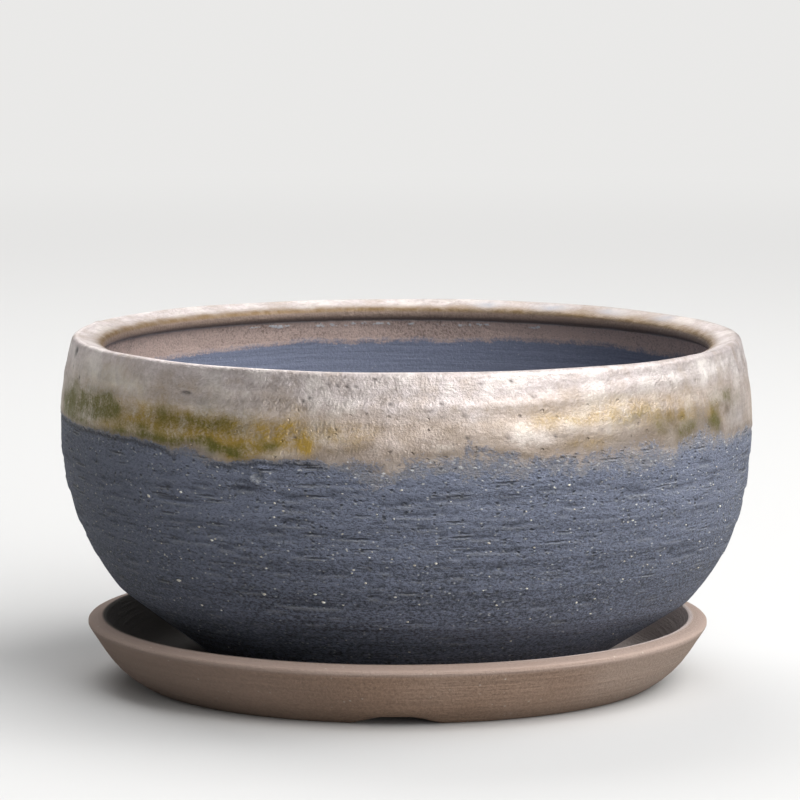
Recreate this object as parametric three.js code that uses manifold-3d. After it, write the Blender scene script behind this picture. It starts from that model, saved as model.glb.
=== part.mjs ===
// A bowl-shaped stoneware flower pot with a glazed rim, standing loose in an unglazed clay saucer.
// Millimetres, +Z up. The origin is on the pot's axis, on the surface that the saucer stands on.
// The front is -Y, where one of the notches in the saucer's foot shows.
import * as THREE from "three";
import { mergeVertices } from "three/addons/utils/BufferGeometryUtils.js";
import Module from "manifold-3d";

const wasm = await Module();
wasm.setup();

// Pot, outside: an upright foot, a cone trimmed a little askew, a round belly and a shoulder that draws in.
const FOOT_RADIUS = 80;
const FOOT_SIDE = 4;
const FOOT_EDGE = 1;
const CONE_RISE = 30.5;
const TRIM_TILT = 4.5;
const TRIM_HIGH_SIDE = 40;
const BELLY_RADIUS = 139.4;
const BELLY_RISE = 62.5;
const BELLY_DRAW_IN = 20.6;
const SHOULDER_RISE = 36.4;
const SHOULDER_DRAW_IN = 5.4;

// Pot, lip: its top falls inwards, and its inner edge rolls over and hangs out above a cove.
const LIP_WIDTH = 11.8;
const LIP_FALL = 4;
const LIP_EDGE = 2.2;
const LIP_ROLL = 2.2;
const COVE_RISE = 3.3;

// Pot, inside and underside: the foot is a ring, and water leaves by the drain hole and the ring's notches.
const WALL = 9.5;
const FLOOR = 10;
const FLOOR_ROUND = 12;
const FOOT_RECESS = 5;
const FOOT_RING_WIDTH = 13;
const DRAIN_RADIUS = 15;
const POT_NOTCH_WIDTH = 26;
const POT_NOTCH_HEIGHT = 3.5;

// Glaze: a coat over the lip, thicker in a bead along its outer edge, which was dipped askew and has run.
const GLAZE = 0.6;
const GLAZE_BEAD = 1;
const BEAD_WIDTH = 3;
const GLAZE_DEPTH = 37.5;
const GLAZE_TILT = 4;
const GLAZE_INSIDE = 6.4;
const GLAZE_INSIDE_TILT = 2.4;
const GLAZE_HIGH_SIDE = 200;

// Each run of the glaze: the way it faces and half its width in degrees, and how far it drops.
const GLAZE_RUNS = [
  [-122, 8, 3.5],
  [-95, 5, 6.5],
  [-48, 14, 1.5],
  [25, 6, 4],
  [72, 10, 2.5],
  [118, 6, 5],
  [155, 8, 2],
];

// Saucer: a flared wall, bellied outside, with a bevelled rim, on a foot ring with notches.
const SAUCER_HEIGHT = 26.2;
const SAUCER_WALL = 7.9;
const SAUCER_FLOOR = 5;
const SAUCER_CORNER = 6;
const SAUCER_BELLY_HEIGHT = 6;
const SAUCER_BELLY_OUT = 3.4;
const SAUCER_BELLY_ROUND = 8;
const SAUCER_FOOT = 2.5;
const SAUCER_FOOT_WIDTH = 10;
const SAUCER_FOOT_EDGE = 1;
const RIM_BEVEL = 29;
const RIM_EDGE = 1.4;
const SAUCER_NOTCH_WIDTH = 29;
const SAUCER_NOTCH_HEIGHT = 1.8;

// Fit: the room that the saucer leaves round the pot's foot and side, and how far off centre the pot stands.
const FOOT_ROOM = 21.9;
const SIDE_ROOM = 20.2;
const SAUCER_SHIFT = 3.3;

// Notches, the same count in both feet, with one at the front; a cutter reaches past the foot that it opens.
const NOTCHES = 3;
const CUT_PAST = 5;

// Faces: steps round the axis, and along the curved stretches of the outlines.
const SEGMENTS = 72;
const CORNER_STEPS = 3;
const WALL_STEPS = 6;
const GLAZED_STEPS = 4;

const radians = THREE.MathUtils.degToRad;
const mix = THREE.MathUtils.lerp;
const point = (radius, height) => new THREE.Vector2(radius, height);

// Heights of the pot above its own foot, and the radii where its curves meet.
const trimHeight = FOOT_SIDE + CONE_RISE;
const trimRadius = BELLY_RADIUS - BELLY_DRAW_IN;
const bellyHeight = trimHeight + BELLY_RISE;
const lipHeight = bellyHeight + SHOULDER_RISE;
const lipRadius = BELLY_RADIUS - SHOULDER_DRAW_IN;
const innerEdgeHeight = lipHeight - LIP_FALL - LIP_ROLL;
const coveHeight = innerEdgeHeight - COVE_RISE;
const floorTop = FOOT_RECESS + FLOOR;
const saucerFloorTop = SAUCER_FOOT + SAUCER_FLOOR;

// The arc that leaves the widest line upright and draws in by a distance over a rise.
const arcRadius = (rise, drawIn) => (rise ** 2 + drawIn ** 2) / (2 * drawIn);
const bellyArc = arcRadius(BELLY_RISE, BELLY_DRAW_IN);
const shoulderArc = arcRadius(SHOULDER_RISE, SHOULDER_DRAW_IN);

// Radius of the thrown wall at a height: of its outside, or of a surface at a depth inside it.
function wallRadius(height, depth = 0) {
  const arc = height < bellyHeight ? bellyArc : shoulderArc;
  return BELLY_RADIUS - arc + Math.sqrt((arc - depth) ** 2 - (height - bellyHeight) ** 2);
}

// Radius of the pot's whole outside at a height, from the foot up.
function sideRadius(height) {
  if (height > trimHeight) return wallRadius(height);
  const climb = Math.max(height - FOOT_SIDE, 0) / CONE_RISE;
  return mix(FOOT_RADIUS, trimRadius, climb);
}

// Points of an outline from its corners, each [radius, height, rounding].
function outline(corners) {
  const path = new THREE.Path();
  const places = corners.map(([radius, height]) => point(radius, height));
  const towards = (from, to, distance) => {
    return to.clone().sub(from).setLength(distance).add(from);
  };
  path.moveTo(places[0].x, places[0].y);
  for (let i = 1; i < places.length; i++) {
    const corner = places[i];
    const rounding = corners[i][2];
    if (!rounding) {
      path.lineTo(corner.x, corner.y);
      continue;
    }
    const start = towards(corner, places[i - 1], rounding);
    const end = towards(corner, places[i + 1], rounding);
    path.lineTo(start.x, start.y);
    path.quadraticCurveTo(corner.x, corner.y, end.x, end.y);
  }
  return path.getPoints(CORNER_STEPS);
}

// A row is a line round the axis: its place along the outline, and its point at an angle.
const fixedRow = (place) => () => place;
const wallRow = (heightAt, depth = 0) => (angle) => {
  const height = heightAt(angle);
  return point(wallRadius(height, depth), height);
};

// The solid inside a closed loop of rows. Each four-sided face is cut from the earlier row to the later one,
// so that two solids that share rows share the same triangles.
function turned(rows) {
  const positions = [];
  const faces = [];
  rows.forEach(({ at }) => {
    for (let s = 0; s < SEGMENTS; s++) {
      const angle = (2 * Math.PI * s) / SEGMENTS;
      const { x: radius, y: height } = at(angle);
      positions.push(radius * Math.cos(angle), radius * Math.sin(angle), height);
    }
  });
  rows.forEach(({ order }, i) => {
    const next = (i + 1) % rows.length;
    for (let s = 0; s < SEGMENTS; s++) {
      const turn = (s + 1) % SEGMENTS;
      const [a, b] = [i * SEGMENTS + s, i * SEGMENTS + turn];
      const [d, c] = [next * SEGMENTS + s, next * SEGMENTS + turn];
      if (order < rows[next].order) faces.push(a, b, c, a, c, d);
      else faces.push(a, b, d, b, c, d);
    }
  });
  const geometry = new THREE.BufferGeometry();
  geometry.setAttribute("position", new THREE.Float32BufferAttribute(positions, 3));
  geometry.setIndex(faces);
  return geometry;
}

function solid(geometry) {
  const bare = geometry.clone();
  bare.deleteAttribute("normal");
  bare.deleteAttribute("uv");
  const merged = mergeVertices(bare);
  const vertProperties = merged.attributes.position.array;
  const triVerts = new Uint32Array(merged.index.array);
  return new wasm.Manifold(new wasm.Mesh({ numProp: 3, vertProperties, triVerts }));
}

// Shallow arches cut through a foot ring from below, with one of them at the front.
function notched(geometry, { inner, outer, width, height }) {
  const arch = new THREE.Shape();
  arch.moveTo(-width / 2, -CUT_PAST);
  arch.lineTo(width / 2, -CUT_PAST);
  arch.lineTo(width / 2, 0);
  arch.quadraticCurveTo(0, 2 * height, -width / 2, 0);
  const depth = outer - inner + 2 * CUT_PAST;
  let body = solid(geometry);
  for (let i = 0; i < NOTCHES; i++) {
    const cutter = new THREE.ExtrudeGeometry(arch, { depth, bevelEnabled: false, curveSegments: WALL_STEPS });
    cutter.translate(0, 0, inner - CUT_PAST);
    cutter.rotateX(Math.PI / 2);
    cutter.rotateZ(radians((360 * i) / NOTCHES));
    body = body.subtract(solid(cutter));
  }
  const { vertProperties, triVerts } = body.getMesh();
  const cut = new THREE.BufferGeometry();
  cut.setAttribute("position", new THREE.BufferAttribute(vertProperties, 3));
  cut.setIndex(new THREE.BufferAttribute(triVerts, 1));
  return cut;
}

function mesh(name, geometry, color, roughness, metalness) {
  const material = new THREE.MeshStandardMaterial({ color, roughness, metalness });
  const made = new THREE.Mesh(geometry, material);
  made.name = name;
  return made;
}

// Height at an angle of the edge between the trimmed cone and the belly.
function trimLine(angle) {
  return trimHeight + TRIM_TILT * Math.cos(angle - radians(TRIM_HIGH_SIDE));
}

// Heights of the glaze's lower edge at an angle, outside and inside the pot.
function glazeLine(angle) {
  let height = lipHeight - GLAZE_DEPTH + GLAZE_TILT * Math.cos(angle - radians(GLAZE_HIGH_SIDE));
  for (const [facing, halfWidth, drop] of GLAZE_RUNS) {
    const away = THREE.MathUtils.euclideanModulo(angle - radians(facing) + Math.PI, 2 * Math.PI) - Math.PI;
    height -= drop * Math.exp(-((away / radians(halfWidth)) ** 2));
  }
  return height;
}

function innerGlazeLine(angle) {
  return coveHeight - GLAZE_INSIDE - GLAZE_INSIDE_TILT * Math.cos(angle - radians(GLAZE_HIGH_SIDE));
}

// Heights that climb or fall in equal steps from one line to another, both ends left out.
function between(from, to, steps) {
  const heights = [];
  for (let i = 1; i < steps; i++) heights.push((angle) => mix(from(angle), to(angle), i / steps));
  return heights;
}

// The lip, from its outer edge over the top to the foot of the cove under its inner edge.
function lipOutline() {
  const innerRadius = lipRadius - LIP_WIDTH;
  const wallTop = wallRadius(coveHeight, WALL);
  const slope = (distance) => point(lipRadius - distance, lipHeight - (LIP_FALL * distance) / LIP_WIDTH);
  const [crown, brink, innerCorner] = [slope(LIP_EDGE), slope(LIP_WIDTH - LIP_ROLL), slope(LIP_WIDTH)];
  const coveMiddle = innerEdgeHeight - COVE_RISE / 2;
  const path = new THREE.Path();
  path.moveTo(wallRadius(lipHeight - LIP_EDGE), lipHeight - LIP_EDGE);
  path.quadraticCurveTo(lipRadius, lipHeight, crown.x, crown.y);
  path.lineTo(brink.x, brink.y);
  path.quadraticCurveTo(innerCorner.x, innerCorner.y, innerRadius, innerEdgeHeight);
  path.bezierCurveTo(innerRadius, coveMiddle, wallTop, coveMiddle, wallTop, coveHeight);
  return path.getPoints(CORNER_STEPS);
}

// The inside of the pot below its wall: a cone as thick as the wall, rounded into the floor.
function bowlOutline(top) {
  const coneRun = trimRadius - FOOT_RADIUS;
  const slantWall = (WALL * Math.hypot(coneRun, CONE_RISE)) / CONE_RISE;
  const floorRadius = FOOT_RADIUS + (coneRun * (floorTop - FOOT_SIDE)) / CONE_RISE - slantWall;
  const path = new THREE.Path();
  path.moveTo(top.x, top.y);
  path.quadraticCurveTo(floorRadius, floorTop, floorRadius - FLOOR_ROUND, floorTop);
  path.lineTo(DRAIN_RADIUS, floorTop);
  return path.getPoints(CORNER_STEPS);
}

// Pot: rows from the drain hole's lower edge out over the foot, up the outside, over the lip and down the inside.
const ringInner = FOOT_RADIUS - FOOT_RING_WIDTH;
const footOutline = outline([
  [DRAIN_RADIUS, FOOT_RECESS],
  [ringInner, FOOT_RECESS],
  [ringInner, 0, FOOT_EDGE],
  [FOOT_RADIUS, 0, FOOT_EDGE],
  [FOOT_RADIUS, FOOT_SIDE],
]);
const innerTrimHeight = bellyHeight - ((bellyArc - WALL) * BELLY_RISE) / bellyArc;
const innerTrim = point(wallRadius(innerTrimHeight, WALL), innerTrimHeight);
const beadTop = (angle) => glazeLine(angle) + BEAD_WIDTH;
const lipStart = () => lipHeight - LIP_EDGE;
const clayBelow = [
  ...footOutline.map(fixedRow),
  wallRow(trimLine),
  ...between(trimLine, glazeLine, WALL_STEPS).map((height) => wallRow(height)),
];
const underGlaze = [
  wallRow(glazeLine),
  wallRow(beadTop),
  ...between(beadTop, lipStart, GLAZED_STEPS).map((height) => wallRow(height)),
  ...lipOutline().map(fixedRow),
  wallRow(innerGlazeLine, WALL),
];
const clayInside = [
  ...between(innerGlazeLine, () => innerTrimHeight, WALL_STEPS).map((height) => wallRow(height, WALL)),
  ...bowlOutline(innerTrim).map(fixedRow),
];
const clayRows = [...clayBelow, ...underGlaze, ...clayInside].map((at, order) => ({ order, at }));
const potNotches = {
  inner: ringInner,
  outer: FOOT_RADIUS,
  width: POT_NOTCH_WIDTH,
  height: POT_NOTCH_HEIGHT,
};
const potBody = mesh("pot_body", notched(turned(clayRows), potNotches), "#484d54", 0.85, 0);

// Glaze: its inner face is the clay's own rows, and its outer face lies off them by the coat's thickness.
const glazedRows = clayRows.slice(clayBelow.length, clayBelow.length + underGlaze.length);
const coated = glazedRows.slice(1, -1);
const coatRows = coated.map(({ order }, i) => {
  const thickness = i === 0 ? GLAZE_BEAD : GLAZE;
  const at = (angle) => {
    const here = clayRows[order].at(angle);
    const along = clayRows[order + 1].at(angle).clone().sub(clayRows[order - 1].at(angle)).normalize();
    return point(here.x + along.y * thickness, here.y - along.x * thickness);
  };
  return { order, at };
});
const glazeLoop = [glazedRows[0], ...coatRows, glazedRows.at(-1), ...coated.toReversed()];
const rimGlaze = mesh("rim_glaze", turned(glazeLoop), "#a08a62", 0.4, 0.7);

// Saucer: its floor and rim keep their room round the pot, and its outside runs beside the inner wall.
function makeSaucer() {
  const floorRadius = FOOT_RADIUS + FOOT_ROOM;
  const rimRadius = sideRadius(SAUCER_HEIGHT - saucerFloorTop) + SIDE_ROOM;
  const flare = (rimRadius - floorRadius) / (SAUCER_HEIGHT - saucerFloorTop);
  const footRadius = floorRadius - flare * saucerFloorTop + SAUCER_WALL * Math.hypot(1, flare);
  const bevel = Math.tan(radians(RIM_BEVEL));
  const brimRadius = (footRadius + flare * (SAUCER_HEIGHT + bevel * rimRadius)) / (1 + flare * bevel);
  const brimHeight = SAUCER_HEIGHT - (brimRadius - rimRadius) * bevel;
  const footInner = footRadius - SAUCER_FOOT_WIDTH;
  const bellyRadius = footRadius + flare * SAUCER_BELLY_HEIGHT + SAUCER_BELLY_OUT;
  const profile = outline([
    [0, SAUCER_FOOT],
    [footInner, SAUCER_FOOT],
    [footInner, 0, SAUCER_FOOT_EDGE],
    [footRadius, 0, SAUCER_FOOT_EDGE],
    [bellyRadius, SAUCER_BELLY_HEIGHT, SAUCER_BELLY_ROUND],
    [brimRadius, brimHeight, RIM_EDGE],
    [rimRadius, SAUCER_HEIGHT, RIM_EDGE],
    [floorRadius, saucerFloorTop, SAUCER_CORNER],
    [0, saucerFloorTop],
  ]);
  const blank = new THREE.LatheGeometry(profile, SEGMENTS).rotateX(Math.PI / 2);
  const saucerNotches = {
    inner: footInner,
    outer: footRadius,
    width: SAUCER_NOTCH_WIDTH,
    height: SAUCER_NOTCH_HEIGHT,
  };
  return mesh("saucer", notched(blank, saucerNotches), "#8a7464", 0.9, 0);
}

const saucer = makeSaucer();
saucer.position.x = -SAUCER_SHIFT;

const pot = new THREE.Group();
pot.add(potBody, rimGlaze);
pot.position.z = saucerFloorTop;

const group = new THREE.Group();
group.add(saucer, pot);

export default group;
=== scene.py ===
import math

import bpy
import numpy as np
from mathutils import Matrix, Vector


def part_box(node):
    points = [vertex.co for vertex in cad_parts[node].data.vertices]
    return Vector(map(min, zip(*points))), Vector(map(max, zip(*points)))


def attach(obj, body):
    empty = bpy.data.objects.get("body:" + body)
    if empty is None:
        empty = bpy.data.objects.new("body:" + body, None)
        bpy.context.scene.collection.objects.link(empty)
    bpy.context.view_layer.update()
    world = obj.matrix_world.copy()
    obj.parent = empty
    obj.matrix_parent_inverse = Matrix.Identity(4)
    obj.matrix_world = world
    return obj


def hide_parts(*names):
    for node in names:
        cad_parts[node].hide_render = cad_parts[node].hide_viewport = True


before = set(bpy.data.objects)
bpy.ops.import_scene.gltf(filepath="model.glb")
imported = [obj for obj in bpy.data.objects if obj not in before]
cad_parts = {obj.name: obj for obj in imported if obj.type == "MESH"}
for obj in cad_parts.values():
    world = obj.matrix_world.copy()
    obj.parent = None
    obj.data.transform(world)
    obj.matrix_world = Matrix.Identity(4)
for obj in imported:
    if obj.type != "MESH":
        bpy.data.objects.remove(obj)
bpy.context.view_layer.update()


# The saucer: a shallow dish of brown clay, thrown on a wheel and left unglazed. Its rim is cut off at
# a slant, and three shallow notches in its foot ring let water out from under it.
MM = 0.001
DISH_RIM_RADIUS = 118.9
DISH_RIM_HEIGHT = 26.2
DISH_WALL = 7.1
DISH_FLOOR_RADIUS = 101.9
DISH_FLOOR_TOP = 7.5
DISH_FLOOR_CORNER = 6.0
DISH_FOOT_HEIGHT = 2.5
DISH_FOOT_WIDTH = 10.0
DISH_FOOT_EDGE = 1.0
DISH_RECESS_EDGE = 0.8
DISH_RIM_SLANT = math.tan(math.radians(13))
DISH_RIM_EDGE = 1.3
DISH_BRIM_EDGE = 2.4
DISH_BELLY_HEIGHT = 6.0
DISH_BELLY_OUT = 4.6
DISH_BELLY_ROUND = 9.0
DISH_NOTCH_WIDTH = 36.0
DISH_NOTCH_HEIGHT = 3.5
DISH_MIDDLE_DISC = 3.0
DISH_SPACING = 1.6
DISH_FACETS = 360
NOTCH_FACINGS = (-90, 30, 150)
NOTCH_REACH = 0.1
RINGS_PER_PULL = 30
CORNER_RINGS = 4
SAME_POINT = 0.01


def round_corners(corners, spacing):
    """Points along an outline, from its corners: (radius, height, rounding)."""
    points = [Vector(corners[0][:2])]
    for before, corner, after in zip(corners, corners[1:], corners[2:] + corners[-1:]):
        at = Vector(corner[:2])
        rounding = corner[2]
        arriving = at + (Vector(before[:2]) - at).normalized() * rounding
        leaving = at + (Vector(after[:2]) - at).normalized() * rounding
        steps = max(math.ceil((arriving - points[-1]).length / spacing), 1)
        points += [points[-1].lerp(arriving, step / steps) for step in range(1, steps + 1)]
        if rounding:
            for step in range(1, CORNER_RINGS):
                turn = step / CORNER_RINGS
                points.append(arriving.lerp(at, turn).lerp(at.lerp(leaving, turn), turn))
            points.append(leaving)
    return [(point.x, point.y) for point in points]


def pull_rings(rings, facets):
    """One pull of the wall: a circle, extruded and widened from ring to ring."""
    radius, height = rings[0]
    bpy.ops.mesh.primitive_circle_add(vertices=facets, radius=radius * MM, location=(0, 0, height * MM))
    bpy.ops.object.mode_set(mode="EDIT")
    for wider, higher in rings[1:]:
        rise = (0, 0, (higher - height) * MM)
        bpy.ops.mesh.extrude_region_move(TRANSFORM_OT_translate={"value": rise})
        grow = wider / radius
        bpy.ops.transform.resize(value=(grow, grow, 1), center_override=(0, 0, higher * MM))
        radius, height = wider, higher
    bpy.ops.object.mode_set(mode="OBJECT")
    return bpy.context.object


def join_parts(name, parts):
    """One piece from several parts, its origin in the middle of the floor."""
    bpy.ops.object.select_all(action="DESELECT")
    for part in parts:
        part.select_set(True)
    bpy.context.view_layer.objects.active = parts[0]
    bpy.ops.object.transform_apply()
    bpy.ops.object.join()
    bpy.context.object.name = name
    return bpy.context.object


def throw(name, outline, facets, ring_shaped=True):
    """A piece thrown from its outline, (radius, height) in mm, in a few joined pulls."""
    rings = outline + outline[:1] if ring_shaped else outline
    starts = range(0, len(rings) - 1, RINGS_PER_PULL)
    pulls = [pull_rings(rings[start:start + RINGS_PER_PULL + 1], facets) for start in starts]
    piece = join_parts(name, pulls)
    bpy.ops.object.mode_set(mode="EDIT")
    bpy.ops.mesh.select_all(action="SELECT")
    bpy.ops.mesh.remove_doubles(threshold=SAME_POINT * MM)
    if not ring_shaped:
        bpy.ops.mesh.select_all(action="DESELECT")
        bpy.ops.mesh.select_mode(type="EDGE")
        bpy.ops.mesh.select_non_manifold()
        bpy.ops.mesh.edge_face_add()
        bpy.ops.mesh.select_mode(type="VERT")
    bpy.ops.mesh.select_all(action="SELECT")
    bpy.ops.mesh.normals_make_consistent(inside=False)
    bpy.ops.object.mode_set(mode="OBJECT")
    bpy.ops.object.shade_smooth()
    return piece


def points_of(piece):
    """Every point of a piece in mm, one row each."""
    places = np.empty(len(piece.data.vertices) * 3)
    piece.data.vertices.foreach_get("co", places)
    return places.reshape(-1, 3) / MM


def put_points(piece, places):
    """Moves every point of a piece to its row of places, in mm."""
    piece.data.vertices.foreach_set("co", (places * MM).ravel())
    piece.data.update()


def round_the_axis(places):
    """The facing in degrees, the radius and the height of every point."""
    right, back, height = places.T
    return np.degrees(np.arctan2(back, right)), np.hypot(right, back), height.copy()


def turned_from(angle, facing):
    """Degrees from a facing, between -180 and 180."""
    return (angle - facing + 180) % 360 - 180


def ease(value, start, end):
    """0 up to start, 1 from end on, and a soft climb between them."""
    climb = np.clip((value - start) / (end - start), 0, 1)
    return climb * climb * (3 - 2 * climb)


def lift_notches(places, stands_at, inner_radius, width, height):
    """Presses shallow arches into a foot ring from below."""
    angle, radius, _ = round_the_axis(places)
    for facing in NOTCH_FACINGS:
        aside = np.abs(np.radians(turned_from(angle, facing)) * radius)
        arch = stands_at + height * (1 - (2 * aside / width) ** 2)
        foot = (radius > inner_radius - NOTCH_REACH) & (places[:, 2] < arch)
        places[foot, 2] = arch[foot]


dish_flare = (DISH_RIM_RADIUS - DISH_FLOOR_RADIUS) / (DISH_RIM_HEIGHT - DISH_FLOOR_TOP)
dish_foot_radius = DISH_FLOOR_RADIUS - dish_flare * DISH_FLOOR_TOP + DISH_WALL * math.hypot(1, dish_flare)
dish_brim_radius = dish_foot_radius + dish_flare * (DISH_RIM_HEIGHT + DISH_RIM_SLANT * DISH_RIM_RADIUS)
dish_brim_radius /= 1 + dish_flare * DISH_RIM_SLANT
dish_brim_height = DISH_RIM_HEIGHT - (dish_brim_radius - DISH_RIM_RADIUS) * DISH_RIM_SLANT
dish_foot_inner = dish_foot_radius - DISH_FOOT_WIDTH
dish_belly_radius = dish_foot_radius + dish_flare * DISH_BELLY_HEIGHT + DISH_BELLY_OUT
dish_outline = round_corners(
    [
        (DISH_MIDDLE_DISC, DISH_FOOT_HEIGHT, 0),
        (dish_foot_inner, DISH_FOOT_HEIGHT, DISH_RECESS_EDGE),
        (dish_foot_inner, 0.0, DISH_FOOT_EDGE),
        (dish_foot_radius, 0.0, DISH_FOOT_EDGE),
        (dish_belly_radius, DISH_BELLY_HEIGHT, DISH_BELLY_ROUND),
        (dish_brim_radius, dish_brim_height, DISH_BRIM_EDGE),
        (DISH_RIM_RADIUS, DISH_RIM_HEIGHT, DISH_RIM_EDGE),
        (DISH_FLOOR_RADIUS, DISH_FLOOR_TOP, DISH_FLOOR_CORNER),
        (DISH_MIDDLE_DISC, DISH_FLOOR_TOP, 0),
    ],
    spacing=DISH_SPACING,
)
saucer = throw("saucer_dish", dish_outline, DISH_FACETS, ring_shaped=False)
dish_points = points_of(saucer)
lift_notches(dish_points, 0.0, dish_foot_inner, DISH_NOTCH_WIDTH, DISH_NOTCH_HEIGHT)
dish_low, dish_high = (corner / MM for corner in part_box("saucer"))
dish_middle = (dish_low.x + dish_high.x) / 2
dish_points[:, 0] += dish_middle
put_points(saucer, dish_points)


class Wire:
    """A shader socket to calculate with: each operation adds a Math node."""

    def __init__(self, socket):
        self.socket = socket

    def node(self, kind, settings=None, sockets=None, out=None):
        """Any node, by its settings and the values or wires in its sockets."""
        made = self.socket.id_data.nodes.new(kind)
        for name, value in (settings or {}).items():
            setattr(made, name, value)
        for name, value in (sockets or {}).items():
            named = [s for s in made.inputs if s.enabled and s.name == name]
            target = made.inputs[name] if isinstance(name, int) else named[0]
            if isinstance(value, Wire):
                self.socket.id_data.links.new(value.socket, target)
            else:
                target.default_value = value
        shown = [s for s in made.outputs if s.enabled]
        return Wire(shown[0] if out is None else next(s for s in shown if s.name == out))

    def math(self, operation, first, second):
        """A Math node over two numbers or wires."""
        return self.node("ShaderNodeMath", {"operation": operation}, {0: first, 1: second})

    def __add__(self, other):
        return self.math("ADD", self, other)

    __radd__ = __add__

    def __sub__(self, other):
        return self.math("SUBTRACT", self, other)

    def __rsub__(self, other):
        return self.math("SUBTRACT", other, self)

    def __mul__(self, other):
        return self.math("MULTIPLY", self, other)

    __rmul__ = __mul__

    def __truediv__(self, other):
        return self.math("DIVIDE", self, other)

    def axis(self, name):
        """One coordinate of a place: X, Y or Z."""
        return self.node("ShaderNodeSeparateXYZ", {}, {"Vector": self}, out=name)

    def moved(self, step):
        """A place moved by a step, fixed or a wire."""
        return self.node("ShaderNodeVectorMath", {"operation": "ADD"}, {0: self, 1: step})

    def length(self, counted=(1, 1, 1)):
        """How far a place lies from the origin, along the counted axes."""
        flat = self.node("ShaderNodeVectorMath", {"operation": "MULTIPLY"}, {0: self, 1: counted})
        return flat.node("ShaderNodeVectorMath", {"operation": "LENGTH"}, {0: flat}, out="Value")

    def ease(self, start, end):
        """0 before start, 1 past end, with a soft climb between."""
        steps = {"Value": self, "From Min": start, "From Max": end}
        return self.node("ShaderNodeMapRange", {"interpolation_type": "SMOOTHSTEP"}, steps)

    def between(self, first, second):
        """The mix of two colours or wires that this factor picks."""
        ends = {"Factor": self, "A": colour(first), "B": colour(second)}
        return self.node("ShaderNodeMix", {"data_type": "RGBA"}, ends)

    def noise(self, scale, detail=3.0, rough=0.55, stretch=(1, 1, 1)):
        """Soft cloudy values about 0.5; scale counts per metre."""
        place = self.node("ShaderNodeMapping", {}, {"Vector": self, "Scale": stretch})
        grain = {"Vector": place, "Scale": scale, "Detail": detail, "Roughness": rough}
        return place.node("ShaderNodeTexNoise", {}, grain)

    def marks(self, scale, share, size, stretch=(1, 1, 1), wobble=0.0):
        """Scattered marks, 1 in their middles and 0 outside, in a share of the cells."""
        place = self
        if wobble:
            shift = self.node("ShaderNodeTexNoise", {}, {"Vector": self, "Scale": 500.0}, out="Color")
            shift = {"Vector": shift, "Scale": wobble}
            place = self.moved(self.node("ShaderNodeVectorMath", {"operation": "SCALE"}, shift))
        place = place.node("ShaderNodeMapping", {}, {"Vector": place, "Scale": stretch})
        cells = place.node("ShaderNodeTexVoronoi", {}, {"Vector": place, "Scale": scale}, out="Distance")
        chance = Wire(cells.socket.node.outputs["Color"])
        chance = chance.node("ShaderNodeSeparateColor", {}, {"Color": chance}, out="Red")
        return cells.ease(size, size * 0.25) * chance.ease(share, share - 0.01)


def colour(value):
    """A colour for a socket, from a wire or three numbers."""
    return value if isinstance(value, Wire) else (*value, 1.0)


def layered(tone, *layers):
    """A colour with others laid over it in turn: (share, colour)."""
    for share, layer in layers:
        tone = share.between(tone, layer)
    return tone


def new_finish(name):
    """A new material, the wire of its Object coordinates and its shader."""
    material = bpy.data.materials.new(name)
    material.use_nodes = True
    nodes = material.node_tree.nodes
    shader = next(n for n in nodes if n.type == "BSDF_PRINCIPLED")
    place = nodes.new("ShaderNodeTexCoord").outputs["Object"]
    return material, Wire(place), shader


def into(shader, name, wire):
    """Leads a wire into one of a shader's sockets."""
    shader.id_data.links.new(wire.socket, shader.inputs[name])


def bump(height, distance):
    """A surface that stands out by a height, times a distance in metres."""
    return height.node("ShaderNodeBump", {}, {"Height": height, "Distance": distance, "Strength": 1.0})


DISH_BROWN = (0.44, 0.29, 0.205)
DISH_DARK = (0.235, 0.155, 0.11)
DISH_PAINTED_LIGHT = (0.43, 0.325, 0.275)
DISH_DUST_AND_LIGHT = (0.44, 0.37, 0.325)
DISH_SPECK = (0.62, 0.55, 0.47)
DISH_PAINTED_SHADE = (0.018, 0.014, 0.01)
DISH_PAINTED_LIGHT_INSIDE = (0.7, 0.6, 0.56)

# Where the saucer's colour changes, in metres: up its rim, at its inner edge, above its floor, across it.
# The paler rim top and the pale inner floor on the right are painted light, the dark inner floor on the
# left painted shade.
RIM_LIGHT_HEIGHTS = (0.0212, 0.0232)
INNER_EDGE = (0.0975, 0.0957)
FLOOR_HEIGHTS = (0.006, 0.0075)
INSIDE_LIGHT_SPAN = (0.03, 0.09)
INSIDE_SHADE_SPAN = (0.07, -0.03)
DISH_BUMP = 0.0006
dish_clay, place, shader = new_finish("brown_saucer_clay")
height, right = place.axis("Z"), place.axis("X")
clouds = place.noise(14.0, 4.0)
turning = place.noise(60.0, 3.0, 0.6, stretch=(0.25, 0.25, 14.0))
grain = place.noise(800.0, 3.0, 0.7)
body = (clouds * 0.5 + turning * 0.5 + grain * 1.2 - 0.6).ease(0.1, 0.9)
# Pale dust towards the right, with painted light there.
dust_and_light = (right * 5 + clouds * 1.4 + grain * 0.5).ease(0.9, 1.9)
from_axis = place.moved((-dish_middle * MM, 0, 0)).length((1, 1, 0))
round_axis = place.node("ShaderNodeCombineXYZ", {}, {"X": right * 0.04, "Y": height, "Z": from_axis})
rim_lines = round_axis.noise(900.0, 3.0, 0.6)
# Painted light: the rim's top paler where light falls on it, streaked by its turning lines.
painted_rim_light = height.ease(*RIM_LIGHT_HEIGHTS) * (0.2 + rim_lines * 1.1 + grain * 0.2)
within = (from_axis - height * dish_flare).ease(*INNER_EDGE) * height.ease(*FLOOR_HEIGHTS)
# Painted light: the floor inside paler towards the right.
painted_light_inside = within * (right + grain * 0.03).ease(*INSIDE_LIGHT_SPAN)
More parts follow.
